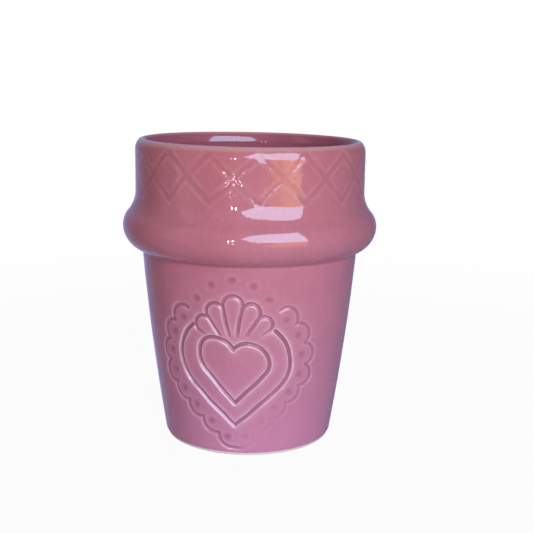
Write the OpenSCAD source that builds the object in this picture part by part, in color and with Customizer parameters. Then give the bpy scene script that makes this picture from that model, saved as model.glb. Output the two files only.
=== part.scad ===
// Handle-less glazed ceramic cup: a tapered wall, a rounded collar, a straight rim band,
// a heart carved in the front and a lattice carved in the band.
// The origin is on the axis at the foot, +Z is up and the heart faces -Y.

/* [Wall] */
// Height of the cup from the foot to the top of the lip
cup_h = 100; // [96:1:110]
// Width of the wall at the foot
base_d = 56.2; // [50:0.1:62]
// Width of the wall where it reaches the underside of the collar
neck_d = 71.9; // [66:0.1:74]
// How far the tapered wall bellies out past a straight line
belly = 0.65; // [0.2:0.05:1.5]
// Thickness of the wall with its glaze on both faces
wall_t = 3.8; // [3:0.1:4.4]

/* [Collar] */
// Height of the cup over the collar's widest line
band_h = 28.5; // [27:0.5:30]
// How far the collar stands out past the rim band
collar_out = 4.25; // [3:0.05:6]
// Radius of the collar's lower curve
collar_low_r = 8.2; // [7.5:0.1:9.5]
// Radius of the collar's upper curve
collar_high_r = 6.2; // [5.5:0.1:8]
// Radius of the cove between the collar and the rim band
cove_r = 8.9; // [6:0.1:11]
// Radius of the fillet under the collar
under_r = 0.9; // [0.5:0.1:2]
// Extra thickness of the wall behind the collar
collar_thick = 1.45; // [0.5:0.05:1.8]

/* [Rim] */
// How far the rim band stands out past the top of the tapered wall
rim_out = 2.1; // [1.5:0.1:3]
// Radius of the shoulder between the band and the lip
shoulder_r = 6; // [5:0.5:7]
// Angle that the shoulder turns through
shoulder_turn = 40; // [35:1:45]
// Radius of the lip's outer edge
lip_out_r = 1.5; // [1.3:0.1:1.8]

/* [Floor and foot] */
// Height of the finished floor inside the cup
floor_z = 6; // [5:0.1:9]
// Radius where the floor turns into the wall
floor_r = 6; // [3:0.5:9]
// Height of the bare clay line under the outer glaze
bare_h = 0.9; // [0.5:0.1:2]
// Width of the foot ring
ring_w = 3.5; // [2.5:0.1:5]
// Bevel on the outer edge of the foot ring
ring_bevel = 0.4; // [0.2:0.05:0.8]
// Depth of the recess inside the foot ring
recess_h = 1.6; // [1.3:0.1:2.5]
// Radius of the recess's corner
recess_r = 1.2; // [0.8:0.1:1.3]

/* [Glaze] */
// Thickness of each glaze coat
glaze_t = 0.4; // [0.2:0.05:0.6]

/* [Carved heart] */
// Height of tapered wall that the sizes of the heart and its crown are given for
heart_room = 63.3; // [62:0.1:66]
// Width of the finished grooves
groove_w = 1.5; // [1:0.1:2]
// Depth of the finished grooves
groove_deep = 0.7; // [0.3:0.05:0.9]
// Height of the lobes' centres
lobe_z = 33.4; // [32:0.1:35]
// How far each lobe's centre is from the middle line
lobe_x = 5.6; // [4:0.1:6]
// Radius of the inner heart's lobes
inner_r = 6.2; // [5.8:0.1:7.2]
// Height of the inner heart's tip
inner_tip = 18.7; // [17:0.1:21]
// Radius of the outer heart's lobes
outer_r = 12.7; // [11:0.1:13]
// Angle over level at which the outer heart's line starts
outer_angle = 45; // [35:1:50]
// Height of the outer heart's tip
outer_tip = 10.9; // [9:0.1:13]
// Radius of the lobes of the line that the scallops follow
border_lobe_r = 18.6; // [17.5:0.1:20]
// Angle over level at which the scalloped line starts
border_angle = 59; // [50:1:62]
// Height of the tip of the line that the scallops follow
border_tip = 2.9; // [2.7:0.1:4]
// Number of scallops on each side
scallops = 8; // [6:1:9]
// How far the scallops bulge out
scallop_out = 3.2; // [2.4:0.1:3.6]
// Width of the dots
dot_d = 2.2; // [1.6:0.1:2.8]
// How far each scallop's dot lies inside the scalloped line
dot_inset = 1.2; // [0.8:0.1:1.8]

/* [Crown on the heart] */
// Height of the point that the petals fan out from
fan_z = 35; // [34:0.1:36]
// Height where the petals start
crown_z = 41.2; // [40.8:0.1:42]
// Radius from the fan point to the middle petal's shoulders
petal_r = 16.3; // [15:0.1:17]
// How much shorter each next petal is
petal_step = 1.4; // [0.8:0.1:1.8]
// How far the petals' heads bulge out
petal_out = 3.3; // [2.6:0.1:3.8]
// Angle between petals
petal_pitch = 22.5; // [20:0.5:24]
// Number of petals on each side of the middle one
side_petals = 2; // [1:1:2]
// Height of the centre of the ring of dots
halo_z = 45.5; // [44:0.1:46]
// Radius of the ring of dots
halo_r = 13.7; // [13:0.1:14.5]
// Angle between the dots over the crown
halo_pitch = 29; // [25:1:32]
// Number of dots on each side of the top one
side_dots = 2; // [1:1:2]

/* [Rim lattice] */
// Number of crossings round the band
crossings = 16; // [10:1:20]
// Height of the lattice's lower points over the collar's widest line
lattice_up = 11.7; // [11:0.1:13]
// How far the lattice's upper points stay under the top of the lip
lattice_gap = 2.2; // [1.6:0.1:3.4]
// Width of the lattice's finished strokes
lattice_w = 1.5; // [1:0.1:2]
// Depth of the lattice's finished strokes
lattice_deep = 0.45; // [0.2:0.05:0.6]

/* [Hidden] */
$fn = 128;

// How far a cutter runs past the surface that it cuts
overrun = wall_t;
// Steps in the long wall, in a bend and in a small round, and sides of a dot
wall_steps = 5;
bend_steps = 7;
round_steps = 4;
dot_sides = 8;
half_turn = 180;
quarter_turn = half_turn / 2;
full_turn = 2 * half_turn;
degrees_per_radian = half_turn / PI;

base_r = base_d / 2;
neck_r = neck_d / 2;
rim_r = neck_r + rim_out;
collar_r = rim_r + collar_out;
collar_z = cup_h - band_h;
neck_z = collar_z - collar_low_r;
lip_r = rim_r - shoulder_r + (shoulder_r - lip_out_r) * cos(shoulder_turn);
lip_in_r = wall_t - rim_r + lip_r;
lattice_z = collar_z + lattice_up;
lattice_h = band_h - lattice_up - lattice_gap;

// Scale that fits the heart and its crown to the wall
heart_scale = neck_z / heart_room;

// Circle that the tapered wall follows
wall_chord = [neck_r - base_r, neck_z];
wall_r = (pow(norm(wall_chord) / 2, 2) + belly * belly) / (2 * belly);
wall_c = [base_r, 0] + wall_chord / 2
    + (wall_r - belly) * [-wall_chord[1], wall_chord[0]] / norm(wall_chord);

// Centres of the collar's curves
low_c = [collar_r - collar_low_r, collar_z];
high_c = [collar_r - collar_high_r, collar_z];

// Centres of the lip's outer edge and of the shoulder under it
lip_c = [lip_r, cup_h - lip_out_r];
shoulder_c = lip_c - polar(shoulder_r - lip_out_r, shoulder_turn);

// Ring of bare clay that the cup stands on
ring_r = wall_at(0, glaze_t);
ring_in_r = ring_r - ring_w;

// Circle between the floor and the inside of the wall
floor_c = [
    wall_c[0] + sqrt(pow(wall_r - wall_t - floor_r, 2) - pow(floor_z + floor_r - wall_c[1], 2)),
    floor_z + floor_r
];

function direction(v) = atan2(v[1], v[0]);
function heading(v) = direction(v) + (direction(v) < 0 ? full_turn : 0);
function polar(r, a) = r * [cos(a), sin(a)];
function arc(c, r, a1, a2, steps) = [
    for (i = [0:steps]) c + polar(r, a1 + (a2 - a1) * i / steps)
];
// Where two circles meet, on the right of the line from the first centre to the second
function meet(c1, r1, c2, r2) =
    let (
        gap = norm(c2 - c1),
        along = (r1 * r1 - r2 * r2 + gap * gap) / (2 * gap),
        aside = sqrt(r1 * r1 - along * along),
        unit = (c2 - c1) / gap
    )
    c1 + along * unit + aside * [unit[1], -unit[0]];

// Radius of the tapered wall at a height, at a depth under the finished surface
function wall_at(z, depth) = wall_c[0] + sqrt(pow(wall_r - depth, 2) - pow(z - wall_c[1], 2));

// Side of the cup at a depth under the finished surface, from a start angle on the wall to the band
function side(depth, extra, start) =
    let (
        under_c = meet(wall_c, wall_r + under_r, low_c, collar_low_r - extra + under_r),
        reach = collar_high_r + cove_r - extra,
        across = collar_high_r + cove_r - collar_out,
        cove_c = high_c + [across, sqrt(reach * reach - across * across)]
    )
    concat(
        arc(wall_c, wall_r - depth, start, direction(under_c - wall_c), wall_steps),
        arc(under_c, under_r + depth, heading(wall_c - under_c), heading(low_c - under_c), round_steps),
        arc(low_c, collar_low_r - depth - extra, direction(under_c - low_c), 0, bend_steps),
        arc(high_c, collar_high_r - depth - extra, 0, direction(cove_c - high_c), bend_steps),
        arc(cove_c, cove_r + depth, heading(high_c - cove_c), half_turn, bend_steps)
    );

// Outside of the cup from a height to the top of the lip
function outside(depth, z) = concat(
    side(depth, 0, asin((z - wall_c[1]) / (wall_r - depth))),
    arc(shoulder_c, shoulder_r - depth, 0, shoulder_turn, bend_steps),
    arc(lip_c, lip_out_r - depth, shoulder_turn, quarter_turn, round_steps)
);

// Inside of the cup from the middle of the floor to the top of the lip, at a depth under its glaze
function inside(depth) = concat(
    [[0, floor_z - depth]],
    arc(floor_c, floor_r + depth, -quarter_turn, direction(floor_c - wall_c), bend_steps),
    side(wall_t - depth, collar_thick, direction(floor_c - wall_c)),
    arc([lip_r, cup_h - lip_in_r], lip_in_r - depth, half_turn, quarter_turn, bend_steps)
);

// Ceiling of the foot recess from its corner to the axis, at a depth of glaze
function recess(depth) = concat(
    arc([ring_in_r - recess_r, recess_h - recess_r], recess_r - depth, 0, quarter_turn, round_steps),
    [[0, recess_h - depth]]
);

function backwards(list) = [for (i = [len(list) - 1:-1:0]) list[i]];

// Solid cup without its hollow, at a depth under the finished surface
module core(depth) {
    rotate_extrude()
        polygon(concat([[0, 0]], outside(depth, 0), [[0, cup_h - depth]]));
}

// A point of the unrolled wall, as it shows from the front
function from_front(p) =
    let (r = wall_at(p[1], 0))
    [r * sin(p[0] / r * degrees_per_radian), p[1]];

// Outline of a line of some width with round ends
function stroke(path, width) =
    let (
        last = len(path) - 1,
        aim = [for (i = [0:last]) direction(path[min(i + 1, last)] - path[max(i - 1, 0)])]
    )
    concat(
        [for (i = [0:last]) path[i] + polar(width / 2, aim[i] + quarter_turn)],
        arc(path[last], width / 2, aim[last] + quarter_turn, aim[last] - quarter_turn, round_steps),
        [for (i = [last:-1:0]) path[i] + polar(width / 2, aim[i] - quarter_turn)],
        arc(path[0], width / 2, aim[0] - quarter_turn, aim[0] - quarter_turn - half_turn, round_steps)
    );

// Arc between two points that bulges out on the left of the way from the first to the second
function bow(p, q, out) =
    let (
        half = norm(q - p) / 2,
        r = (half * half + out * out) / (2 * out),
        unit = (q - p) / norm(q - p),
        c = (p + q) / 2 + (out - r) * [-unit[1], unit[0]],
        start = direction(p - c),
        turn = direction(q - c) - start
    )
    arc(c, r, start, start + turn - (turn > 0 ? full_turn : 0), bend_steps);

// Right half of a heart: a lobe, then a straight side from its tangent to the tip
lobe_c = [lobe_x, lobe_z];
function tangent_angle(r, tip) =
    direction(lobe_c - [0, tip]) - asin(r / norm(lobe_c - [0, tip])) - quarter_turn;
function half_heart(r, tip, start) = concat(
    arc(lobe_c, r, start, tangent_angle(r, tip), 2 * bend_steps),
    [[0, tip]]
);

// Scalloped line: part of a lobe, then a straight side, with a point at a length along it
border_turn = border_angle - tangent_angle(border_lobe_r, border_tip);
border_bend = border_lobe_r * border_turn / degrees_per_radian;
border_corner = lobe_c + polar(border_lobe_r, border_angle - border_turn);
border_side = [0, border_tip] - border_corner;
border_length = border_bend + norm(border_side);
function border_point(s) =
    s < border_bend
        ? lobe_c + polar(border_lobe_r, border_angle - s / border_bend * border_turn)
        : border_corner + (s - border_bend) / norm(border_side) * border_side;

// Point of the crown at a radius and an angle from upright
function fan(r, a) = [r * sin(a), fan_z + r * cos(a)];

module line(path, width) {
    polygon([for (p = stroke(heart_scale * path, width)) from_front(p)]);
}
module dot(p, width) {
    polygon([
        for (i = [1:dot_sides]) from_front(heart_scale * p + polar(width / 2, i * full_turn / dot_sides))
    ]);
}

// Head of a petal and a dot over the crown, counted from the middle ones
module petal(k, width) {
    r = petal_r - k * petal_step;
    line(bow(fan(r, (k - 1 / 2) * petal_pitch), fan(r, (k + 1 / 2) * petal_pitch), petal_out), width);
}
module halo_dot(k, width) {
    dot([0, halo_z] + polar(halo_r, quarter_turn - k * halo_pitch), width);
}

// Right half of the carved drawing, each line wider than its finished groove
module half_drawing(wider) {
    width = groove_w + wider;
    cleft = half_turn - acos(lobe_x / inner_r);
    line(half_heart(inner_r, inner_tip, cleft), width);
    line(half_heart(outer_r, outer_tip, outer_angle), width);
    for (i = [0:scallops - 1]) {
        p = border_point(border_length * i / scallops);
        q = border_point(border_length * (i + 1) / scallops);
        middle = (p + q) / 2;
        line(bow(p, q, scallop_out), width);
        dot(middle + dot_inset * (lobe_c - middle) / norm(lobe_c - middle), dot_d + wider);
    }
    for (k = [0:side_petals]) {
        a = (k + 1 / 2) * petal_pitch;
        line([fan((crown_z - fan_z) / cos(a), a), fan(petal_r - k * petal_step, a)], width);
    }
    for (k = [1:side_petals]) petal(k, width);
    for (k = [1:side_dots]) halo_dot(k, dot_d + wider);
}

module drawing(wider) {
    half_drawing(wider);
    mirror([1, 0]) half_drawing(wider);
    petal(0, groove_w + wider);
    halo_dot(0, dot_d + wider);
}

// What the heart's grooves take away, down to a depth under the finished surface
module heart_cut(coat) {
    difference() {
        rotate([quarter_turn, 0, 0])
            linear_extrude(height = rim_r + overrun)
                drawing(2 * coat);
        core(groove_deep + coat);
    }
}

// What the lattice's strokes take away
module lattice_cut(coat) {
    pitch = full_turn / crossings;
    across = 2 * rim_r * sin(pitch / 2);
    lean = atan2(across, lattice_h);
    difference() {
        for (i = [0:crossings - 1], way = [-1, 1])
            rotate([0, 0, i * pitch])
                translate([0, -rim_r, lattice_z + lattice_h / 2])
                    rotate([0, way * lean, 0])
                        cube([lattice_w + 2 * coat, 2 * overrun, norm([across, lattice_h])], center = true);
        core(lattice_deep + coat);
    }
}

module carving(coat) {
    heart_cut(coat);
    lattice_cut(coat);
}

module clay_body() {
    color("#ded0da")
        difference() {
            rotate_extrude()
                polygon(concat(
                    backwards(recess(0)),
                    [[ring_in_r, 0], [ring_r - ring_bevel, 0]],
                    outside(glaze_t, ring_bevel),
                    backwards(inside(glaze_t))
                ));
            carving(glaze_t);
        }
}

module outer_glaze() {
    color("#bb7890")
        difference() {
            rotate_extrude()
                polygon(concat(
                    [[0, bare_h]],
                    outside(0, bare_h),
                    [[lip_r, collar_z], [0, collar_z]]
                ));
            difference() {
                core(glaze_t);
                carving(glaze_t);
            }
            carving(0);
        }
}

module liner_glaze() {
    color("#95566d")
        rotate_extrude()
            polygon(concat(inside(0), backwards(inside(glaze_t))));
}

module foot_recess_glaze() {
    color("#bb7890")
        rotate_extrude()
            polygon(concat(recess(0), backwards(recess(glaze_t))));
}

clay_body();
outer_glaze();
liner_glaze();
foot_recess_glaze();
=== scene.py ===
import bpy
import cmath
import math
import numpy as np
from math import radians
from mathutils import Matrix, Vector


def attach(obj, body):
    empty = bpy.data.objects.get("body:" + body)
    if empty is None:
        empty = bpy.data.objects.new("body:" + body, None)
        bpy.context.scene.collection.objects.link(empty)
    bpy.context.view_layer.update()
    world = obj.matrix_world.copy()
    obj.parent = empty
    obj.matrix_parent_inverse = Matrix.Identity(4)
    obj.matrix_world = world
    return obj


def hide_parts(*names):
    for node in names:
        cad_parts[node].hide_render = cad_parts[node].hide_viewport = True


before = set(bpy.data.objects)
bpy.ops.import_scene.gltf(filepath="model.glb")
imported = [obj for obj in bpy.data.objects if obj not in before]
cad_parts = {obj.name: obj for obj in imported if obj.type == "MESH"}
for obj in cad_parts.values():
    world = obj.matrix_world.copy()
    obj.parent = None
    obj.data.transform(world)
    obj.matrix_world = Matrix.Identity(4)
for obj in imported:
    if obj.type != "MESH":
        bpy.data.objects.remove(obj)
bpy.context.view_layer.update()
print("frame loaded:", ", ".join(sorted(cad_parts)))

# Outline of the cup: radius + height * 1j, in millimetres, as the solids have it
cup = {
    "height": 100, "footWidth": 56.2, "neckWidth": 71.9, "belly": 0.65, "wall": 3.8,
    "bandHeight": 28.5, "collarOut": 4.25, "collarLowRound": 8.2, "collarHighRound": 7.1,
    "cove": 10.6, "underCollar": 0.9, "collarThick": 1.45, "rimOut": 2.1,
    "shoulder": 5, "shoulderTurn": 40, "lip": 1.5,
    "innerShoulder": 6.0, "innerTurn": 30, "innerLip": 0.3,      # the mouth opens a little under the lip
    "floor": 6, "floorRound": 6, "footRing": 3.5, "footBevel": 0.4,
    "recess": 1.6, "recessRound": 1.2, "glaze": 0.4,
    "bareLine": 0.9,       # where the outer coat begins
    "nose": 0.7,           # how tall its rounded lower edge is
    "wallStep": 0.25,      # spacing of the rows of faces on the wall
    "roundStep": 0.4,      # on the collar and the band
    "lipStep": 0.16,       # on the lip
    "backStep": 2.5,       # on faces that never show
    "hair": 0.004,         # points closer together than this are one
    "overlap": 0.9,        # how far the collar's coat runs on under the wall's coat, and the other way
    "sunk": 0.16,          # how deep its hidden edge lies
    "rimFall": 0.0062,     # the hand-made rim is this much out of level, falling to the right
    "backDepth": 1.2,      # how deep the unseen side of each coat lies
    "clayUnder": 0.05,     # how far the clay stays under that
    "clayLedge": (0.95, 1.0, 1.1),      # heights over which the clay draws in from its bare line
    "linerTop": 96.5,      # where the inside coat takes over from the rim's
    "linerMiddle": 80,     # where the inside is straight already
    # degrees and steps round the wall, clockwise from its start: close at the heart, wide elsewhere
    "wallSweeps": ((100, 262), (260, 84)), "wallStart": 50,
    "rimSteps": 480, "linerSteps": 240, "claySteps": 160, "recessSteps": 120,
    "waves": 0.12,         # how uneven a thrown and dipped surface is
    "waveSize": 0.014,     # how wide its waves are, in metres
}

neck = cup["neckWidth"] / 2
rim = neck + cup["rimOut"]
foot = cup["footWidth"] / 2
collarLine = cup["height"] - cup["bandHeight"]
neckHeight = collarLine - cup["collarLowRound"]
chord = neck - foot + neckHeight * 1j
wallRound = ((abs(chord) / 2) ** 2 + cup["belly"] ** 2) / (2 * cup["belly"])
wallCentre = foot + chord / 2 + (wallRound - cup["belly"]) * 1j * chord / abs(chord)
lowCentre = rim + cup["collarOut"] - cup["collarLowRound"] + collarLine * 1j
highCentre = rim + cup["collarOut"] - cup["collarHighRound"] + collarLine * 1j
shoulderTurn = radians(cup["shoulderTurn"])
lipCentre = rim - cup["shoulder"] + (cup["shoulder"] - cup["lip"]) * math.cos(shoulderTurn) \
    + (cup["height"] - cup["lip"]) * 1j
shoulderCentre = lipCentre - cmath.rect(cup["shoulder"] - cup["lip"], shoulderTurn)
quarter = math.pi / 2


def arc(centre, size, start, end, step):
    count = max(2, math.ceil(abs(end - start) * size / step))
    return [centre + cmath.rect(size, start + (end - start) * i / count) for i in range(count + 1)]


def straight(start, end, step):
    count = max(1, math.ceil(abs(end - start) / step))
    return [start + (end - start) * i / count for i in range(count + 1)]


def heading(v):
    return cmath.phase(v) % (2 * math.pi)


# where two circles meet, on the right of the way from the first centre to the second
def meeting(centreA, sizeA, centreB, sizeB):
    gap = abs(centreB - centreA)
    along = (sizeA ** 2 - sizeB ** 2 + gap ** 2) / (2 * gap)
    unit = (centreB - centreA) / gap
    return centreA + along * unit - 1j * unit * math.sqrt(sizeA ** 2 - along ** 2)


def wallAt(height, depth=0):
    return wallCentre.real + np.sqrt((wallRound - depth) ** 2 - (height - wallCentre.imag) ** 2)


def wallAngle(height, depth):
    return math.asin((height - wallCentre.imag) / (wallRound - depth))


# side of the cup at a depth under its finished surface, from a height on the wall to the end of the cove
def sideLine(depth, extra, startAngle, wallStep, roundStep):
    fillet = cup["underCollar"]
    underCentre = meeting(wallCentre, wallRound + fillet, lowCentre, cup["collarLowRound"] - extra + fillet)
    reach = cup["collarHighRound"] + cup["cove"] - extra
    across = cup["collarHighRound"] + cup["cove"] - cup["collarOut"]
    coveCentre = highCentre + across + 1j * math.sqrt(reach ** 2 - across ** 2)
    wallEnd = cmath.phase(underCentre - wallCentre)
    upTurn = cmath.phase(coveCentre - highCentre)
    return [
        arc(wallCentre, wallRound - depth, startAngle, wallEnd, wallStep),
        arc(underCentre, fillet + depth, heading(wallCentre - underCentre), heading(lowCentre - underCentre),
            roundStep / 2)
        + arc(lowCentre, cup["collarLowRound"] - depth - extra, cmath.phase(underCentre - lowCentre), 0, roundStep)
        + arc(highCentre, cup["collarHighRound"] - depth - extra, 0, upTurn, roundStep)
        + arc(coveCentre, cup["cove"] + depth, heading(highCentre - coveCentre), math.pi, roundStep),
    ]


# points closer together than a hair are left out
def joined(*lines):
    points = []
    for point in [p for line in lines for p in line]:
        if not points or abs(point - points[-1]) > cup["hair"]:
            points.append(point)
    if abs(points[0] - points[-1]) < cup["hair"]:
        points.pop()
    return points


# Making a turned piece: its outline is drawn with extrusions and spun round the cup's axis
def turnedPiece(name, outline, sweeps, startAngle=-180.0, closed=True):
    turn = radians(startAngle)          # 0 is the heart's middle line, on -Y
    points = [Vector((p.real * math.sin(turn), -p.real * math.cos(turn), p.imag)) / 1000 for p in outline]
    bpy.ops.object.select_all(action="DESELECT")
    bpy.ops.mesh.primitive_plane_add(size=0.001, location=(0, 0, 0))
    piece = bpy.context.object
    piece.name = piece.data.name = name
    bpy.ops.object.mode_set(mode="EDIT")
    bpy.ops.mesh.select_all(action="SELECT")
    bpy.ops.mesh.merge(type="CENTER")
    bpy.ops.transform.translate(value=points[0])
    for before, after in zip(points, points[1:]):
        bpy.ops.mesh.extrude_vertices_move(TRANSFORM_OT_translate={"value": after - before})
    if closed:
        bpy.ops.object.mode_set(mode="OBJECT")
        for i, vertex in enumerate(piece.data.vertices):
            vertex.select = i in (0, len(points) - 1)
        bpy.ops.object.mode_set(mode="EDIT")
        bpy.ops.mesh.edge_face_add()
    bpy.ops.mesh.select_all(action="SELECT")
    for angle, steps in sweeps:
        bpy.ops.mesh.spin(steps=steps, angle=radians(angle), center=(0, 0, 0), axis=(0, 0, 1))
    bpy.ops.mesh.select_all(action="SELECT")
    bpy.ops.mesh.remove_doubles(threshold=0.000002)
    bpy.ops.mesh.normals_make_consistent(inside=False)
    bpy.ops.object.mode_set(mode="OBJECT")
    print("turned", name, len(piece.data.vertices), "points", len(piece.data.polygons), "faces")
    return piece


def selectOnly(piece):
    bpy.ops.object.select_all(action="DESELECT")
    bpy.context.view_layer.objects.active = piece
    piece.select_set(True)


# gives the chosen points weights that pushSurface reads, and measures that the glaze reads
def markPoints(piece, chosen, weights, measures):
    whole = np.zeros(len(piece.data.vertices))
    for name, values in weights.items():
        whole[chosen] = values
        group = piece.vertex_groups.new(name=name)
        for i in np.nonzero(whole > 0.002)[0]:      # less wouldn't show
            group.add([int(i)], float(whole[i]), "REPLACE")
    for name, values in measures.items():
        whole[chosen] = values
        layer = piece.data.attributes.new(name, "FLOAT", "POINT")
        layer.data.foreach_set("value", np.clip(whole, 0, 1).astype(np.float32))


def cloudTexture(name, size):
    clouds = bpy.data.textures.new(name, "CLOUDS")
    clouds.noise_scale = size
    clouds.noise_depth = 1
    return clouds


# moves a piece's surface in or out along its normals, then makes that its shape
def pushSurface(piece, millimetres, group="", texture=None, level=0.0):
    push = piece.modifiers.new("push", "DISPLACE")
    push.strength = millimetres / 1000
    push.mid_level = level
    push.vertex_group = group
    if texture:
        push.texture = texture
        push.texture_coords = "LOCAL"
    selectOnly(piece)
    bpy.ops.object.modifier_apply(modifier=push.name)


def smoothPiece(piece, angle=38):
    selectOnly(piece)
    bpy.ops.object.shade_smooth_by_angle(angle=radians(angle))


def surfacePoints(piece):
    places = np.empty(len(piece.data.vertices) * 3, np.float32)
    piece.data.vertices.foreach_get("co", places)
    places = places.reshape(-1, 3).astype(float) * 1000
    turn = np.arctan2(places[:, 0], -places[:, 1])
    return turn, np.hypot(places[:, 0], places[:, 1]), places[:, 2]


# the whole rim falls a little to one side
def settleRim(piece):
    for vertex in piece.data.vertices:
        up = min(max((vertex.co.z * 1000 - collarLine) / (cup["height"] - collarLine), 0), 1)
        vertex.co.z -= cup["rimFall"] * up * (vertex.co.x + rim / 1000)


def easing(value):
    value = np.clip(value, 0, 1)
    return value * value * (3 - 2 * value)


# 1 at a distance from a line, falling off on both sides of it
def bell(away, middle, width):
    return np.exp(-((away - middle) / width) ** 2)


# The carved heart, drawn on the unrolled wall: distance from the middle line + height * 1j
heart = {
    "innerLobe": 5.2 + 33.4j, "innerRound": 6.2, "innerTip": 18.7, "innerSkew": 0.17,
    "lobe": 5.6 + 33.4j, "outerRound": 12.7, "outerAngle": 52, "outerTip": 10.9, "outerSkew": 0.06,
    "skewWay": 18,         # how far over its tip a heart is fully skewed
    "borderRound": 18.6, "borderAngle": 59, "borderTip": 2.9, "dotIn": 1.2,
    "scallops": 8, "scallopOut": 3.1, "highScallops": 4, "lowScallopOut": 2.0,
    "fanHeight": 35, "crownHeight": 41.2, "sidePetals": 2, "petalPitch": 22.5,
    "petalReach": 16.3, "petalStep": 1.4, "petalOut": 3.3,
    "haloHeight": 45.5, "haloRound": 13.7, "haloPitch": 29, "sideDots": 2,
    "lineStep": 0.3,       # spacing of the points of a drawn line
    "halfTurn": 52,        # how far round the wall the carving may reach, in degrees
    "skin": 0.2,           # points deeper than this aren't carved
    "lean": 0.66, "leanHeight": 35, "aside": -0.4,       # the hand set it slightly askew
    # how far the hand strays and how unevenly it presses, each with the waves that it follows
    "strayAside": 0.13, "asideWaves": (0.55, 1.3, 0.31),
    "strayUp": 0.11, "upWaves": (0.6, 0.4, 0.37),
    "pressChange": 0.14, "pressWaves": (0.42, 2, 0.33, 0.5),
    # the border fades a little to the right and much more low down there
    "rightFade": 0.25, "rightFadeWay": 8,
    "lowFade": 0.85, "lowFadeFrom": -1 + 24j, "lowFadeWay": 5 + 14j, "fadingDots": 50,
    "petalFadeFrom": 39.5, "petalFadeWay": 4,      # the petals fade towards the heart
    # depth of the cut, how dark it is made, partly as pooled glaze and partly as painted shade, and how pale its edges
    # are, partly as thin glaze and partly as painted highlight
    "heartCut": (0.68, 1.0, 1.0), "petalCut": (0.48, 0.75, 0.6), "scallopCut": (0.34, 0.65, 0.42),
    "dotCut": (0.17, 0.75, 0.06),
    "around": 3,           # how far from its line a cut is worked out
    "grooveFlat": 0.26,    # half the width of a groove's floor
    "grooveHalf": 0.88,    # half the width of a groove at the surface
    "grooveCurve": 1.6,    # how its sides bend
    "dotHalf": 1.8,
    "ridge": 0.08,         # height of the soft ridge that the tool pushed up beside a groove
    "ridgeAway": 1.2, "ridgeWidth": 0.4,
    "darkHalf": 0.68, "darkFade": 0.34, "dotDarkHalf": 1.7, "dotDarkFade": 1.4,
    "edgeWidth": 0.25, "dotEdge": 1.9, "dotEdgeWidth": 0.5,      # the glaze breaks pale there, partly as thin glaze and partly as a painted highlight
    "glowAway": 1.3, "glowWidth": 0.9, "paintedGlow": 0.2,              # and a painted glow a little further out
    "darkHides": 0.6,      # darkened this much, it shows no pale edge
    "cutHides": 0.25,      # carved this much, there is no ridge
}


def bow(start, end, out):
    half = abs(end - start) / 2
    size = (half * half + out * out) / (2 * out)
    centre = (start + end) / 2 + (out - size) * 1j * (end - start) / abs(end - start)
    first = cmath.phase(start - centre)
    turn = cmath.phase(end - centre) - first
    return arc(centre, size, first, first + turn - (2 * math.pi if turn > 0 else 0), heart["lineStep"])


def heartDrawing():
    lobe = heart["lobe"]
    lines, dots = [], []            # each line has its kind of cut

    def sideAngle(lobe, size, tip):
        away = lobe - tip * 1j
        return cmath.phase(away) - math.asin(size / abs(away)) - quarter

    # both halves of a heart; the hand drew its left lobe a little higher than its right one
    def addHeart(lobe, size, tip, start, skew):
        half = arc(lobe, size, start, sideAngle(lobe, size, tip), heart["lineStep"]) + [tip * 1j]
        for side in (1, -1):
            points = [complex(side * p.real, p.imag) for p in half]
            lines.append(([p - skew * p.real * float(easing((p.imag - tip) / heart["skewWay"])) * 1j
                           for p in points], heart["heartCut"]))

    size, tip, start = heart["borderRound"], heart["borderTip"] * 1j, radians(heart["borderAngle"])
    turn = start - sideAngle(lobe, size, heart["borderTip"])
    corner = lobe + cmath.rect(size, start - turn)
    length = size * turn + abs(tip - corner)

    def borderPoint(along):
        if along < size * turn:
            return lobe + cmath.rect(size, start - along / size)
        return corner + (along - size * turn) * (tip - corner) / abs(tip - corner)

    count = heart["scallops"]
    for i in range(count):
        before, after = borderPoint(length * i / count), borderPoint(length * (i + 1) / count)
        middle = (before + after) / 2
        out = heart["scallopOut" if i < heart["highScallops"] else "lowScallopOut"]
        lines.append((bow(before, after, out), heart["scallopCut"]))
        dots.append(middle + heart["dotIn"] * (lobe - middle) / abs(lobe - middle))

    def fan(reach, angle):
        return reach * math.sin(radians(angle)) + (heart["fanHeight"] + reach * math.cos(radians(angle))) * 1j

    def petal(k):
        reach, pitch = heart["petalReach"] - k * heart["petalStep"], heart["petalPitch"]
        return bow(fan(reach, (k - 0.5) * pitch), fan(reach, (k + 0.5) * pitch), heart["petalOut"])

    for k in range(heart["sidePetals"] + 1):
        angle = (k + 0.5) * heart["petalPitch"]
        low = (heart["crownHeight"] - heart["fanHeight"]) / math.cos(radians(angle))
        high = heart["petalReach"] - k * heart["petalStep"]
        lines.append(([fan(low, angle), fan(high, angle)], heart["petalCut"]))
    for k in range(1, heart["sidePetals"] + 1):
        lines.append((petal(k), heart["petalCut"]))
    halo = heart["haloHeight"] * 1j
    for k in range(1, heart["sideDots"] + 1):
        dots.append(halo + cmath.rect(heart["haloRound"], quarter - k * radians(heart["haloPitch"])))
    lines += [([complex(-p.real, p.imag) for p in line], cut) for line, cut in lines]
    dots += [complex(-p.real, p.imag) for p in dots]
    lines.append((petal(0), heart["petalCut"]))
    dots.append((heart["haloHeight"] + heart["haloRound"]) * 1j)
    cleft = math.pi - math.acos(heart["innerLobe"].real / heart["innerRound"])
    addHeart(heart["innerLobe"], heart["innerRound"], heart["innerTip"], cleft, heart["innerSkew"])
    addHeart(lobe, heart["outerRound"], heart["outerTip"], radians(heart["outerAngle"]), heart["outerSkew"])
    return lines, dots


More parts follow.
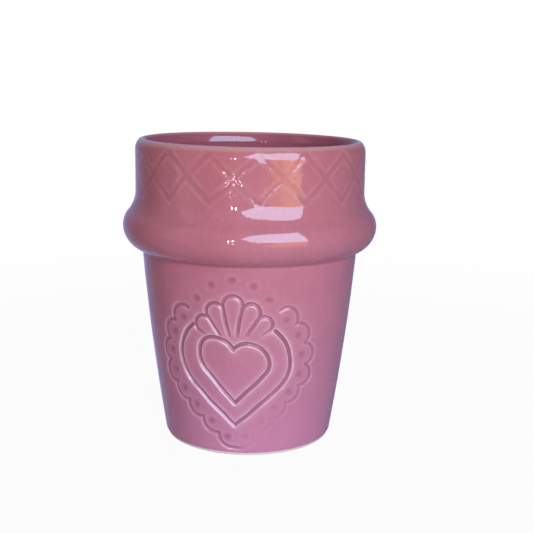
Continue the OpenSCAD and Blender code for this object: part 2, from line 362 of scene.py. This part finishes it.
# shortest way from each place to a line of points
def wayToLine(places, line):
    nearest = np.full(len(places), 1e9)
    for start, end in zip(line, line[1:]):
        if abs(end - start) < 1e-6:
            continue
        along = np.clip(((places - start) * np.conj(end - start)).real / abs(end - start) ** 2, 0, 1)
        nearest = np.minimum(nearest, np.abs(places - start - along * (end - start)))
    return nearest


# a hand never draws quite straight
def handStray(amount, first, second, waves):
    return amount * np.sin(first * waves[0] + waves[1]) * np.cos(second * waves[2])


def carveHeart(piece):
    turn, size, height = surfacePoints(piece)
    onFront = (np.abs(turn) < radians(heart["halfTurn"])) & (size > wallAt(height) - heart["skin"])
    chosen = np.nonzero(onFront)[0]
    places = turn[chosen] * wallAt(height[chosen]) + 1j * height[chosen]
    pivot = heart["leanHeight"] * 1j
    places = (places - heart["aside"] - pivot) * cmath.exp(-1j * radians(heart["lean"])) + pivot
    places = places + handStray(heart["strayAside"], places.imag, places.real, heart["asideWaves"]) \
        + handStray(heart["strayUp"] * 1j, places.real, places.imag, heart["upWaves"])
    across, acrossStart, upward, upwardStart = heart["pressWaves"]
    press = 1 + heart["pressChange"] * np.sin(places.real * across + acrossStart) \
        * np.sin(places.imag * upward + upwardStart)
    fadeFrom, fadeWay = heart["lowFadeFrom"], heart["lowFadeWay"]
    faint = (1 - heart["rightFade"] * easing(places.real / heart["rightFadeWay"])) \
        * (1 - heart["lowFade"] * easing((places.real - fadeFrom.real) / fadeWay.real)
           * easing((fadeFrom.imag - places.imag) / fadeWay.imag))
    petalFaint = easing((places.imag - heart["petalFadeFrom"]) / heart["petalFadeWay"])
    carved, ridge, pooled, broken = (np.zeros(len(chosen)) for _ in range(4))
    lines, dots = heartDrawing()
    for line, cut in lines:
        near = (places.imag > min(p.imag for p in line) - heart["around"]) \
            & (places.imag < max(p.imag for p in line) + heart["around"]) \
            & (places.real > min(p.real for p in line) - heart["around"]) \
            & (places.real < max(p.real for p in line) + heart["around"])
        away = wayToLine(places[near], line)
        depth, darkening, edgeShare = cut
        force = press[near]
        if cut == heart["scallopCut"]:
            force = force * faint[near]
        if cut == heart["petalCut"]:
            force = force * petalFaint[near]
        groove = np.clip((heart["grooveHalf"] - away) / (heart["grooveHalf"] - heart["grooveFlat"]), 0, 1)
        # the cut's floor is darkened as pooled glaze and painted shade; its edges are paled as thin glaze and painted
        # highlight, with a painted glow beyond them
        darkenedHere = easing((heart["darkHalf"] - away) / heart["darkFade"]) * darkening * force
        edge = bell(away, heart["grooveHalf"], heart["edgeWidth"]) * edgeShare * force
        paintedGlow = bell(away, heart["glowAway"], heart["glowWidth"]) * edgeShare * force * heart["paintedGlow"]
        raised = bell(away, heart["ridgeAway"], heart["ridgeWidth"]) * edgeShare
        carved[near] = np.maximum(carved[near], groove ** heart["grooveCurve"] * depth * force)
        pooled[near] = np.maximum(pooled[near], darkenedHere)
        broken[near] = np.maximum(broken[near], np.maximum(edge, paintedGlow))
        ridge[near] = np.maximum(ridge[near], raised)
    depth, darkening, edgeShare = heart["dotCut"]
    # each dot is darkened as pooled glaze and painted shade of its shallow pit, with a pale ring that is partly thin
    # glaze and partly painted highlight
    for dot in dots:
        away = np.abs(places - dot)
        carved = np.maximum(carved, easing(1 - away / heart["dotHalf"]) * depth * press)
        fade = faint if dot.imag < heart["fadingDots"] else 1
        pooled = np.maximum(pooled, darkening * fade * easing((heart["dotDarkHalf"] - away) / heart["dotDarkFade"]))
        broken = np.maximum(broken, edgeShare * fade * bell(away, heart["dotEdge"], heart["dotEdgeWidth"]))
    broken = broken * (1 - easing(pooled / heart["darkHides"]))
    ridge = ridge * (1 - easing(carved / heart["cutHides"]))
    markPoints(piece, chosen, {"carved": carved, "ridge": ridge}, {"pooled": pooled, "broken": broken})
    pushSurface(piece, -1.0, "carved")      # the cuts' depths are in the weights, in millimetres
    pushSurface(piece, heart["ridge"], "ridge")
    print("heart carved:", len(lines), "lines and", len(dots), "dots")


# The lattice round the rim band
lattice = {
    "crossings": 16, "up": 11.7, "gap": 2.2, "depth": 0.055,
    "flat": 0.05, "half": 1.15, "ridge": 0.02, "ridgeAway": 1.3, "ridgeWidth": 0.4,
    "skin": 2,                             # points deeper than this aren't carved
    "lowEdge": 3, "highEdge": 1.6,         # how far under and over the lattice its cuts run out
    "highFade": 2,
    # how far the hand strays, how it shakes and how unevenly it presses, by waves round and up the band
    "stray": 0.3, "acrossWaves": (9, 0.35), "upWaves": (7, 1),
    "shake": 0.16, "shakeWaves": (97, 1.7),
    "press": 0.75, "pressChange": 0.3, "pressWaves": (5, 0.6, 0.4, 13),
    # how dark the cuts are made, partly as pooled glaze and partly as painted shade, and how pale the ridges beside
    # them, partly as thin glaze and partly as painted highlight
    "pooled": 0.26, "broken": 0.14,
    "lumps": 0.13, "lumpSize": 0.0022,     # the glaze lies lumpy there, its lumps this wide in metres
    "lumpsBetween": 0.22, "lumpsInCuts": 0.5,      # and more so in the cuts
}


def carveLattice(piece):
    turn, size, height = surfacePoints(piece)
    pitch = 2 * math.pi * rim / lattice["crossings"]
    low = collarLine + lattice["up"]
    tall = cup["bandHeight"] - lattice["up"] - lattice["gap"]
    onBand = (height > low - lattice["lowEdge"]) & (height < low + tall + lattice["highEdge"]) \
        & (size > rim - lattice["skin"])
    chosen = np.nonzero(onBand)[0]
    turn, height = turn[chosen], height[chosen]
    across = (turn * rim + pitch / 2) % pitch - pitch / 2
    places = across + 1j * (height - low - tall / 2)
    around, upward = lattice["acrossWaves"]
    upAround, upStart = lattice["upWaves"]
    places = places + lattice["stray"] * np.sin(turn * around + height * upward) \
        + lattice["stray"] * 1j * np.sin(turn * upAround + upStart)
    around, upward = lattice["shakeWaves"]
    places = places + lattice["shake"] * np.sin(turn * around + height * upward) * (1 + 1j)
    away = np.full(len(chosen), 1e9)
    for shift in (-pitch, 0, pitch):
        for way in (-1, 1):
            start = shift - pitch / 2 - 1j * way * tall / 2
            end = shift + pitch / 2 + 1j * way * tall / 2
            away = np.minimum(away, wayToLine(places, [start, end]))
    around, start, upward, quick = lattice["pressWaves"]
    press = lattice["press"] \
        + lattice["pressChange"] * np.sin(turn * around + start + height * upward) * np.sin(turn * quick)
    carved = easing((lattice["half"] - away) / (lattice["half"] - lattice["flat"])) * press
    ridge = bell(away, lattice["ridgeAway"], lattice["ridgeWidth"]) * press
    edge = easing((height - low + lattice["lowEdge"]) / lattice["lowEdge"]) \
        * easing((low + tall + lattice["highEdge"] - height) / lattice["highFade"])
    lumpy = (lattice["lumpsBetween"] + lattice["lumpsInCuts"] * carved) * edge
    markPoints(piece, chosen, {"carved": carved, "ridge": ridge, "lumpy": lumpy},
               {"pooled": carved * lattice["pooled"], "broken": ridge * lattice["broken"]})
    lumps = cloudTexture("lumps in the lattice", lattice["lumpSize"])
    pushSurface(piece, -lattice["depth"], "carved")
    pushSurface(piece, lattice["ridge"], "ridge")
    pushSurface(piece, lattice["lumps"], "lumpy", lumps, 1.0)
    print("lattice carved:", lattice["crossings"], "crossings")


# Shader graphs
class Amount:
    # a number in a material; Python arithmetic on it adds Math nodes
    def __init__(self, graph, socket):
        self.graph = graph
        self.socket = socket

    def math(self, operation, first, second=0.0):
        return self.graph.node("ShaderNodeMath", {"operation": operation}, {0: first, 1: second})

    def __add__(self, other):
        return self.math("ADD", self, other)

    def __radd__(self, other):
        return self.math("ADD", other, self)

    def __sub__(self, other):
        return self.math("SUBTRACT", self, other)

    def __rsub__(self, other):
        return self.math("SUBTRACT", other, self)

    def __mul__(self, other):
        return self.math("MULTIPLY", self, other)

    def __rmul__(self, other):
        return self.math("MULTIPLY", other, self)

    def __truediv__(self, other):
        return self.math("DIVIDE", self, other)

    def __rtruediv__(self, other):
        return self.math("DIVIDE", other, self)


class Graph:
    def __init__(self, owner):
        owner.use_nodes = True
        self.tree = owner.node_tree
        self.tree.nodes.clear()

    def node(self, kind, settings, values, out=0):
        made = self.tree.nodes.new(kind)
        for name, setting in settings.items():
            if name == "stops":
                ramp = made.color_ramp
                while len(ramp.elements) < len(setting):
                    ramp.elements.new(0.5)
                for element, (place, colour) in zip(ramp.elements, setting):
                    element.position, element.color = place, (*colour, 1)
            else:
                setattr(made, name, setting)
        for name, value in values.items():
            if isinstance(value, Amount):
                self.tree.links.new(value.socket, made.inputs[name])
            else:
                made.inputs[name].default_value = value
        return Amount(self, made.outputs[out]) if made.outputs else made

    def rise(self, value, low, high):
        return self.node("ShaderNodeMapRange", {"interpolation_type": "SMOOTHSTEP"},
                         {"Value": value, "From Min": low, "From Max": high})

    def noise(self, place, scale, detail=2.0):
        return self.node("ShaderNodeTexNoise", {}, {"Vector": place, "Scale": scale, "Detail": detail})

    def blend(self, factor, first, second, kind="MIX"):
        first, second = ((*c, 1) if isinstance(c, tuple) else c for c in (first, second))
        return self.node("ShaderNodeMix", {"data_type": "RGBA", "blend_type": kind},
                         {0: factor, 6: first, 7: second}, out=2)


# Glaze: its colours from the foot to the rim, and what varies in them
glaze = {
    # the colours change with height, partly as the glaze's own tone and partly as painted light: the paler, pinker
    # foot stands in for light bounced up from the floor and the warmer top for warm light from above
    "foot": (0.600, 0.250, 0.420), "low": (0.530, 0.207, 0.335), "middle": (0.515, 0.190, 0.276),
    "high": (0.485, 0.171, 0.229), "rim": (0.475, 0.146, 0.180),
    "heights": (("foot", 0.0), ("low", 0.25), ("middle", 0.5), ("high", 0.72), ("rim", 1.0)),
    "drift": 0.16, "driftNoise": (48, 2),                        # how far those heights stray
    "cloud": (0.78, 0.66, 0.72), "cloudPart": 0.16, "cloudNoise": (150, 4), "cloudRise": (0.3, 0.7),
    "mottle": (0.70, 0.38, 0.47), "mottlePart": 0.10, "mottleNoise": (900, 3), "mottleRise": (0.5, 0.72),
    "speck": (0.300, 0.070, 0.090), "speckPart": 0.55, "speckScale": 190.0,
    "speckChance": (0.90, 0.92), "speckSize": (0.035, 0.075),
    "pooled": (0.60, 0.53, 0.60), "poolAndShadePart": 0.8,             # what a full groove keeps of the colour, as pooled glaze and painted shade
    "broken": (0.780, 0.560, 0.680), "thinAndHighlitPart": 0.95,         # where the coat runs thin over an edge, with a painted highlight there too
    "ragged": 0.3, "raggedNoise": (260, 2), "raggedRise": (0.4, 0.6),
    "mouthHeight": (0.092, 0.094), "mouthRadius": (0.0350, 0.0357),      # inside these it has the inner colour, which is painted shade
    "lip": (0.530, 0.310, 0.335), "lipPart": 0.85, "lipHeight": (0.0978, 0.0994),
    "roughness": 0.05, "cloudRoughness": 0.02, "pooledRoughness": 0.18, "ior": 1.5,
    "rippleNoise": (130, 1), "fineRipple": 0.22, "fineRippleNoise": (420, 2),
    "bump": 0.35, "bumpHeight": 0.0004,
}

# painted shade: the inside has the same glaze, coloured darker here for the shade inside the cup
inside = {
    **glaze, "foot": (0.33, 0.11, 0.17), "low": (0.33, 0.11, 0.17), "middle": (0.33, 0.11, 0.17),
    "high": (0.35, 0.110, 0.17), "rim": (0.33, 0.100, 0.155),
}


def glazeMaterial(name, settings):
    graph = Graph(bpy.data.materials.new(name))
    place = graph.node("ShaderNodeTexCoord", {}, {}, out=3)
    height = graph.node("ShaderNodeSeparateXYZ", {}, {0: place}, out=2)
    slow = graph.noise(place, *settings["driftNoise"])
    fine = graph.noise(place, *settings["mottleNoise"])
    colour = graph.node("ShaderNodeValToRGB", {
        "stops": [(part, settings[colourName]) for colourName, part in settings["heights"]],
    }, {0: height * (1000 / cup["height"]) + (slow - 0.5) * settings["drift"]})
    cloud = graph.rise(graph.noise(place, *settings["cloudNoise"]), *settings["cloudRise"])
    colour = graph.blend(cloud * settings["cloudPart"], colour, settings["cloud"], "MULTIPLY")
    mottle = graph.rise(fine, *settings["mottleRise"])
    colour = graph.blend(mottle * settings["mottlePart"], colour, settings["mottle"])
    # a speck lies in the middle of a few cells only
    cells, chance = (graph.node(
        "ShaderNodeTexVoronoi", {"feature": "F1"},
        {"Vector": place, "Scale": settings["speckScale"], "Randomness": 1.0}, out=n) for n in (0, 1))
    rare = graph.rise(graph.node("ShaderNodeSeparateColor", {}, {0: chance}), *settings["speckChance"])
    speck = rare * (1 - graph.rise(cells, *settings["speckSize"]))
    colour = graph.blend(speck * settings["speckPart"], colour, settings["speck"])
    pooled, broken = (graph.node("ShaderNodeAttribute", {"attribute_name": measure}, {}, out=2)
                      for measure in ("pooled", "broken"))
    # painted shade in the cuts, together with the pooled glaze's darker colour
    colour = graph.blend(pooled * settings["poolAndShadePart"], colour, settings["pooled"], "MULTIPLY")
    # painted highlight along the cut edges, together with the thin glaze's paler colour
    ragged = (1 - settings["ragged"]) \
        + settings["ragged"] * graph.rise(graph.noise(place, *settings["raggedNoise"]), *settings["raggedRise"])
    colour = graph.blend(broken * settings["thinAndHighlitPart"] * ragged, colour, settings["broken"])
    flat = graph.node("ShaderNodeVectorMath", {"operation": "MULTIPLY"}, {0: place, 1: (1, 1, 0)})
    radius = graph.node("ShaderNodeVectorMath", {"operation": "LENGTH"}, {0: flat}, out=1)
    # painted shade: the rim coat's inner face takes the inside's darker colour
    insideShade = graph.rise(height, *settings["mouthHeight"]) * (1 - graph.rise(radius, *settings["mouthRadius"]))
    colour = graph.blend(insideShade, colour, inside["rim"])
    lip = graph.rise(height, *settings["lipHeight"]) * (1 - insideShade)
    colour = graph.blend(lip * settings["lipPart"], colour, settings["lip"])
    roughness = settings["roughness"] + cloud * settings["cloudRoughness"] + pooled * settings["pooledRoughness"]
    ripple = graph.noise(place, *settings["rippleNoise"]) \
        + settings["fineRipple"] * graph.noise(place, *settings["fineRippleNoise"])
    bump = graph.node("ShaderNodeBump", {}, {
        "Strength": settings["bump"], "Distance": settings["bumpHeight"], "Height": ripple})
    shader = graph.node("ShaderNodeBsdfPrincipled", {}, {
        "Base Color": colour, "Roughness": roughness, "IOR": settings["ior"], "Normal": bump})
    graph.node("ShaderNodeOutputMaterial", {}, {0: shader})
    return bpy.data.materials[name]


clay = {
    "pale": (0.78, 0.69, 0.72), "dark": (0.60, 0.50, 0.53), "darkPart": 0.5,
    "grainNoise": (1600, 4), "grainRise": (0.35, 0.75),
    "stain": (0.70, 0.50, 0.55), "stainPart": 0.35, "stainNoise": (120, 3), "stainRise": (0.45, 0.8),
    "roughness": 0.85, "grainRoughness": 0.15, "bump": 0.5, "bumpHeight": 0.0002,
}


def clayMaterial(name):
    graph = Graph(bpy.data.materials.new(name))
    place = graph.node("ShaderNodeTexCoord", {}, {}, out=3)
    grain = graph.noise(place, *clay["grainNoise"])
    stain = graph.noise(place, *clay["stainNoise"])
    colour = graph.blend(graph.rise(grain, *clay["grainRise"]) * clay["darkPart"], clay["pale"], clay["dark"])
    colour = graph.blend(graph.rise(stain, *clay["stainRise"]) * clay["stainPart"], colour, clay["stain"])
    bump = graph.node("ShaderNodeBump", {}, {
        "Strength": clay["bump"], "Distance": clay["bumpHeight"], "Height": grain})
    roughness = clay["roughness"] + (grain - 0.5) * clay["grainRoughness"]
    shader = graph.node("ShaderNodeBsdfPrincipled", {}, {
        "Base Color": colour, "Roughness": roughness, "Normal": bump})
    graph.node("ShaderNodeOutputMaterial", {}, {0: shader})
    return bpy.data.materials[name]


# Pieces
slowWaves = cloudTexture("slow unevenness", cup["waveSize"])      # the same for every coat
pinkGlaze = glazeMaterial("pink glaze", glaze)
# the inner glaze's darker colours are painted shade
shadedInnerGlaze = glazeMaterial("inner glaze", inside)
bareClay = clayMaterial("bare clay")
glazeDepth, backDepth, bareLine = cup["glaze"], cup["backDepth"], cup["bareLine"]
noseTop = bareLine + cup["nose"]
_, upperBack = sideLine(backDepth, 0, wallAngle(50, backDepth), cup["backStep"], cup["backStep"])
fullSide = sideLine(0, 0, wallAngle(noseTop, 0), cup["wallStep"], cup["roundStep"])
wallEnd = fullSide[0][-1].imag
bandInside = rim - cup["wall"]
innerTurn = radians(cup["innerTurn"])
innerLip = lipCentre.real + (cup["height"] - cup["innerLip"]) * 1j
lipEnd = innerLip + cmath.rect(cup["innerLip"], 2 * quarter - innerTurn)
flare = (lipEnd.real - bandInside - cup["innerShoulder"] * (1 - math.cos(innerTurn))) / math.sin(innerTurn)
shoulderEnd = lipEnd - cmath.rect(flare, quarter - innerTurn)
innerShoulder = shoulderEnd - cmath.rect(cup["innerShoulder"], 2 * quarter - innerTurn)


def backOfWall(low, high):
    start, end = wallAngle(high, backDepth), wallAngle(low, backDepth)
    return arc(wallCentre, wallRound - backDepth, start, end, cup["backStep"])


print("making the glaze on the tapered wall")
nose = []
for t in np.linspace(0, quarter, 6):
    height = bareLine + cup["nose"] * (1 - math.cos(t))
    nose.append(wallAt(height, glazeDepth * (1 - math.sin(t))) + 1j * height)
wallOutline = joined(
    nose,
    arc(wallCentre, wallRound, wallAngle(noseTop, 0), wallAngle(wallEnd + cup["overlap"], 0), cup["wallStep"]),
    backOfWall(bareLine, wallEnd + cup["overlap"]),
)
wallGlaze = turnedPiece("wallGlaze", wallOutline, cup["wallSweeps"], cup["wallStart"])
carveHeart(wallGlaze)

print("making the glaze on the collar and the rim")
seam = wallEnd - cup["overlap"]
rimOutline = joined(
    [wallAt(seam, cup["sunk"]) + seam * 1j, fullSide[0][-1]],
    fullSide[1],
    straight(fullSide[1][-1], rim + 1j * shoulderCentre.imag, cup["roundStep"]),
    arc(shoulderCentre, cup["shoulder"], 0, shoulderTurn, cup["lipStep"] * 1.5),
    arc(lipCentre, cup["lip"], shoulderTurn, quarter, cup["lipStep"]),
    arc(innerLip, cup["innerLip"], quarter, 2 * quarter - innerTurn, cup["lipStep"] / 2),
    straight(lipEnd, shoulderEnd, cup["lipStep"] * 1.5),
    arc(innerShoulder, cup["innerShoulder"], 2 * quarter - innerTurn, 2 * quarter, cup["lipStep"] * 1.5),
    [bandInside + 1j * cup["linerTop"], bandInside + backDepth + 1j * cup["linerTop"],
     rim - backDepth + 1j * cup["linerTop"]],
    upperBack[::-1],
    backOfWall(seam, wallEnd),
)
rimGlaze = turnedPiece("rimGlaze", rimOutline, ((360, cup["rimSteps"]),))
carveLattice(rimGlaze)

print("making the glaze inside")
floorHeight = cup["floor"] + cup["floorRound"]
floorCentre = wallCentre.real + math.sqrt(
    (wallRound - cup["wall"] - cup["floorRound"]) ** 2 - (floorHeight - wallCentre.imag) ** 2) + 1j * floorHeight


def insideLine(depth, step):
    start = cmath.phase(floorCentre - wallCentre)
    inner, upper = sideLine(cup["wall"] - depth, cup["collarThick"], start, step * 1.5, step)
    return joined(
        straight(1j * (cup["floor"] - depth), floorCentre.real + 1j * (cup["floor"] - depth), step * 3),
        arc(floorCentre, cup["floorRound"] + depth, -quarter, start, step),
        inner, upper,
    )


middle, top = 1j * cup["linerMiddle"], 1j * cup["linerTop"]
linerOutline = joined(
    insideLine(0, step=0.8),
    straight(bandInside + middle, bandInside + top, step=1.0),
    straight(bandInside + backDepth + top, bandInside + backDepth + middle, step=6),
    insideLine(backDepth, step=3)[::-1],
)
linerGlaze = turnedPiece("linerGlaze", linerOutline, ((360, cup["linerSteps"]),), closed=False)

print("making the clay and the glaze under the foot")
clayDepth = backDepth + cup["clayUnder"]
clayTop = 1j * (cup["linerTop"] - cup["clayUnder"])
bevel = cup["footBevel"]
ringOut = float(wallAt(0, glazeDepth))
ringIn = ringOut - cup["footRing"]


def recessLine(depth, step):
    corner = ringIn - cup["recessRound"] + 1j * (cup["recess"] - cup["recessRound"])
    height = 1j * (cup["recess"] - depth)
    return arc(corner, cup["recessRound"] - depth, 0, quarter, step) + straight(corner.real + height, height, step=2)


ledge, ledgeIn, ledgeEnd = cup["clayLedge"]
clayOutline = joined(
    recessLine(0, step=0.2)[::-1],
    [ringIn, ringOut - bevel],
    arc(ringOut - bevel + 1j * bevel, bevel, -quarter, 0, step=0.1),
    [wallAt(ledge, glazeDepth) + 1j * ledge, wallAt(ledgeIn, clayDepth) + 1j * ledgeIn],
    *sideLine(clayDepth, 0, wallAngle(ledgeEnd, clayDepth), wallStep=2, roundStep=1),
    [rim - clayDepth + clayTop, bandInside + clayDepth + clayTop],
    insideLine(clayDepth, step=3)[::-1],
)
clayBody = turnedPiece("clayBody", clayOutline, ((360, cup["claySteps"]),), closed=False)
recessOutline = joined(recessLine(0, step=0.2), recessLine(glazeDepth, step=0.15)[::-1])
recessGlaze = turnedPiece("recessGlaze", recessOutline, ((360, cup["recessSteps"]),), closed=False)

for piece in (wallGlaze, rimGlaze, linerGlaze, recessGlaze):
    pushSurface(piece, cup["waves"], texture=slowWaves, level=1.0)
for piece in (rimGlaze, linerGlaze, clayBody):
    settleRim(piece)
for piece in (wallGlaze, rimGlaze, linerGlaze, recessGlaze, clayBody):
    smoothPiece(piece)
for piece, node, slot, material in (
    (wallGlaze, "outer_glaze", "pink_glaze", pinkGlaze),
    (rimGlaze, "outer_glaze", "pink_glaze", pinkGlaze),
    (linerGlaze, "liner_glaze", "inner_glaze", shadedInnerGlaze),
    (recessGlaze, "foot_recess_glaze", "pink_glaze", pinkGlaze),
    (clayBody, "clay_body", "bare_clay", bareClay),
):
    piece.data.materials.append(material)
    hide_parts(node)
    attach(piece, "root")

# Studio: azimuth is seen from above, 0 in front of the heart, growing to the right of it
studio = {
    "middle": (0, 0, 0.085),
    "windowColour": (0.54, 0.72, 0.97), "windowStrength": 10.5,
    "windowCorners": (
        (-0.4, 1.212, 0.41), (18.6, 1.037, 0.0), (58.6, 1.1, 0.0), (58.6, 1.1, 1.01), (9.6, 1.098, 0.90)),
    # a warmer window low beside it, stronger to the right, and its light on the table
    "warmColour": (1.0, 0.60, 0.22), "warmStrength": 4.6, "warmAway": 0.58, "warmLow": 0.001, "warmHigh": 0.078,
    "warmCards": (("warmCardLeft", 18.6, 27, 0.25), ("warmCardMiddle", 27, 37, 0.6), ("warmCardRight", 37, 57, 1)),
    "warmTablePart": 0.7,
    "warmTableCorners": ((18.6, 0.25, 0.001), (55.0, 0.25, 0.001), (57.0, 0.58, 0.001), (18.6, 0.58, 0.001)),
    "leftColour": (0.94, 0.92, 0.74), "leftStrength": 0.5, "leftAway": 0.5, "leftFrom": -66, "leftTo": -48,
    "leftLow": 0.004, "leftHigh": 0.6,
    "glintColour": (1.0, 0.88, 0.80), "glintStrength": 70.0, "glintAway": 0.4, "glintHalf": 0.45,
    "glints": ((-10.0, 0.087, 0.150), (-5.9, 0.087, 0.150), (-10.0, 0.018, 0.034), (-5.9, 0.018, 0.034)),
    # name, azimuth, elevation, distance, size, watts and colour
    "lamps": (
        ("keyLamp", 17, 17, 0.9, 0.5, 7.2, (1.0, 0.99, 1.01)),
        ("backLamp", 187, 22, 0.9, 1.0, 5.6, (1.0, 0.99, 1.0)),
        ("topLamp", 20, 80, 0.9, 0.6, 1.4, (1.0, 0.99, 1.0)),
    ),
    "fillStrength": 0.02, "fillColour": (1.0, 0.95, 1.0),
    "floorColour": (0.66, 0.66, 0.67), "floorRadius": 3, "floorCorners": 96,
    "floorBright": 0.95, "floorFade": (0.12, 0.45),      # how white it looks near the cup, and where it is whitest
    "floorNearer": 0.03, "floorGlow": 1.2,               # how its mirror image differs from the room's
    # what the glaze mirrors of the room, by azimuth
    "room": (
        (-180, (0.37, 0.39, 0.74)), (-150, (0.36, 0.38, 0.70)), (-128, (0.34, 0.29, 0.50)), (-106, (0.05, 0.02, 0.03)),
        (-22, (0.03, 0.025, 0.03)), (-6, (0.38, 0.42, 0.53)), (60, (0.40, 0.44, 0.56)), (96, (0.17, 0.26, 0.44)),
        (135, (0.13, 0.16, 0.31)), (164, (0.19, 0.18, 0.34)), (180, (0.37, 0.39, 0.74)),
    ),
}
white = (1.0, 1.0, 1.0)


# a glowing card that only shows in the glaze, its corners given as azimuth, distance and height
def reflectedCard(name, corners, colour, strength):
    bpy.ops.object.select_all(action="DESELECT")
    bpy.ops.mesh.primitive_circle_add(vertices=len(corners), radius=1, fill_type="NGON")
    card = bpy.context.object
    card.name = name
    for vertex, (azimuth, away, height) in zip(card.data.vertices, corners):
        turn = radians(azimuth)
        vertex.co = (away * math.sin(turn), -away * math.cos(turn), height)
    graph = Graph(bpy.data.materials.new(name))
    glow = graph.node("ShaderNodeEmission", {}, {"Color": (*colour, 1), "Strength": strength})
    graph.node("ShaderNodeOutputMaterial", {}, {0: glow})
    card.data.materials.append(bpy.data.materials[name])
    card.visible_camera = card.visible_diffuse = card.visible_shadow = card.visible_transmission = False


def uprightCard(name, start, end, away, low, high, colour, strength):
    corners = (start, away, low), (end, away, low), (end, away, high), (start, away, high)
    reflectedCard(name, corners, colour, strength)


reflectedCard("windowCard", studio["windowCorners"], studio["windowColour"], studio["windowStrength"])
for name, start, end, part in studio["warmCards"]:
    uprightCard(name, start, end, studio["warmAway"], studio["warmLow"], studio["warmHigh"],
                studio["warmColour"], studio["warmStrength"] * part)
reflectedCard("warmTable", studio["warmTableCorners"], studio["warmColour"],
              studio["warmStrength"] * studio["warmTablePart"])
uprightCard("leftCard", studio["leftFrom"], studio["leftTo"], studio["leftAway"], studio["leftLow"],
            studio["leftHigh"], studio["leftColour"], studio["leftStrength"])
for i, (azimuth, low, high) in enumerate(studio["glints"]):
    uprightCard("glintCard%d" % i, azimuth - studio["glintHalf"], azimuth + studio["glintHalf"],
                studio["glintAway"], low, high, studio["glintColour"], studio["glintStrength"])


def softLamp(name, azimuth, elevation, distance, size, watts, colour):
    turn, up = radians(azimuth), radians(elevation)
    away = Vector((math.sin(turn) * math.cos(up), -math.cos(turn) * math.cos(up), math.sin(up)))
    bpy.ops.object.light_add(type="AREA", location=Vector(studio["middle"]) + away * distance)
    lamp = bpy.context.object
    lamp.name = name
    lamp.rotation_euler = away.to_track_quat("Z", "Y").to_euler()
    lamp.data.shape = "DISK"
    lamp.data.size, lamp.data.energy, lamp.data.color = size, watts, colour
    lamp.visible_glossy = lamp.visible_camera = False


for lampSettings in studio["lamps"]:
    softLamp(*lampSettings)


# the room as the glaze mirrors it, from a way out of the cup
def roomGlow(graph, way, nearer=0.0, gain=1.0):
    right = graph.node("ShaderNodeSeparateXYZ", {}, {0: way}, out=0)
    back = graph.node("ShaderNodeSeparateXYZ", {}, {0: way}, out=1) + nearer
    azimuth = right.math("ARCTAN2", right, 0 - back)
    stops = [((turn + 180) / 360, tuple(gain * c for c in colour)) for turn, colour in studio["room"]]
    return graph.node("ShaderNodeValToRGB", {"stops": stops}, {0: azimuth / (2 * math.pi) + 0.5})


# 1 for the camera's rays, straight or through glass, and 1 for those that the glaze mirrors
def lookingRays(graph):
    path = graph.tree.nodes.new("ShaderNodeLightPath")
    seen = Amount(graph, path.outputs["Is Camera Ray"]) + Amount(graph, path.outputs["Is Transmission Ray"])
    return seen, Amount(graph, path.outputs["Is Glossy Ray"])


world = Graph(bpy.data.worlds.new("studio"))
bpy.context.scene.world = bpy.data.worlds["studio"]
seen, mirrored = lookingRays(world)
way = world.node("ShaderNodeTexCoord", {}, {})
room = roomGlow(world, way)
lightIn = world.blend(mirrored, tuple(c * studio["fillStrength"] for c in studio["fillColour"]), room)
sky = world.node("ShaderNodeBackground", {}, {"Color": world.blend(seen, lightIn, white), "Strength": 1.0})
world.node("ShaderNodeOutputWorld", {}, {0: sky})

bpy.ops.object.select_all(action="DESELECT")
bpy.ops.mesh.primitive_circle_add(
    vertices=studio["floorCorners"], radius=studio["floorRadius"], fill_type="NGON")
ground = bpy.context.object
ground.name = "ground"
graph = Graph(bpy.data.materials.new("pale floor"))
place = graph.node("ShaderNodeTexCoord", {}, {}, out=3)
away = graph.node("ShaderNodeVectorMath", {"operation": "LENGTH"}, {0: place}, out=1)
far = graph.rise(away, *studio["floorFade"])
seen, mirrored = lookingRays(graph)
matte = graph.node("ShaderNodeBsdfDiffuse", {}, {"Color": (*studio["floorColour"], 1)})
glow = roomGlow(graph, place, studio["floorNearer"], studio["floorGlow"])
shining = graph.node("ShaderNodeEmission", {}, {"Color": graph.blend(mirrored, white, glow), "Strength": 1.0})
share = (seen + mirrored) * (studio["floorBright"] + (1 - studio["floorBright"]) * far)
bright = graph.node("ShaderNodeMixShader", {}, {0: share, 1: matte, 2: shining})
graph.node("ShaderNodeOutputMaterial", {}, {0: bright})
ground.data.materials.append(bpy.data.materials["pale floor"])

# Camera: where it stands, and how it is turned from looking along +Y
view = {
    "distance": 0.3275, "height": 0.1222, "azimuth": 7.6,
    "yaw": -6.59, "pitch": 11.31, "roll": 0.79, "lens": 66.52, "near": 0.01, "far": 20,
}
bpy.ops.object.camera_add()
camera = bpy.context.object
yaw, pitch, roll, azimuth = (radians(view[k]) for k in ("yaw", "pitch", "roll", "azimuth"))
ahead = Vector((math.sin(yaw) * math.cos(pitch), math.cos(yaw) * math.cos(pitch), -math.sin(pitch)))
right = Vector((math.cos(yaw), -math.sin(yaw), 0))
up = right.cross(ahead)
rolledRight = right * math.cos(roll) + up * math.sin(roll)
rolledUp = up * math.cos(roll) - right * math.sin(roll)
camera.matrix_world = Matrix.Translation((
    view["distance"] * math.sin(azimuth), -view["distance"] * math.cos(azimuth), view["height"])) \
    @ Matrix((rolledRight, rolledUp, -ahead)).transposed().to_4x4()
camera.data.lens = view["lens"]
camera.data.clip_start, camera.data.clip_end = view["near"], view["far"]
bpy.context.scene.camera = camera
bpy.context.scene.view_settings.view_transform = "Standard"
print("studio and camera ready")
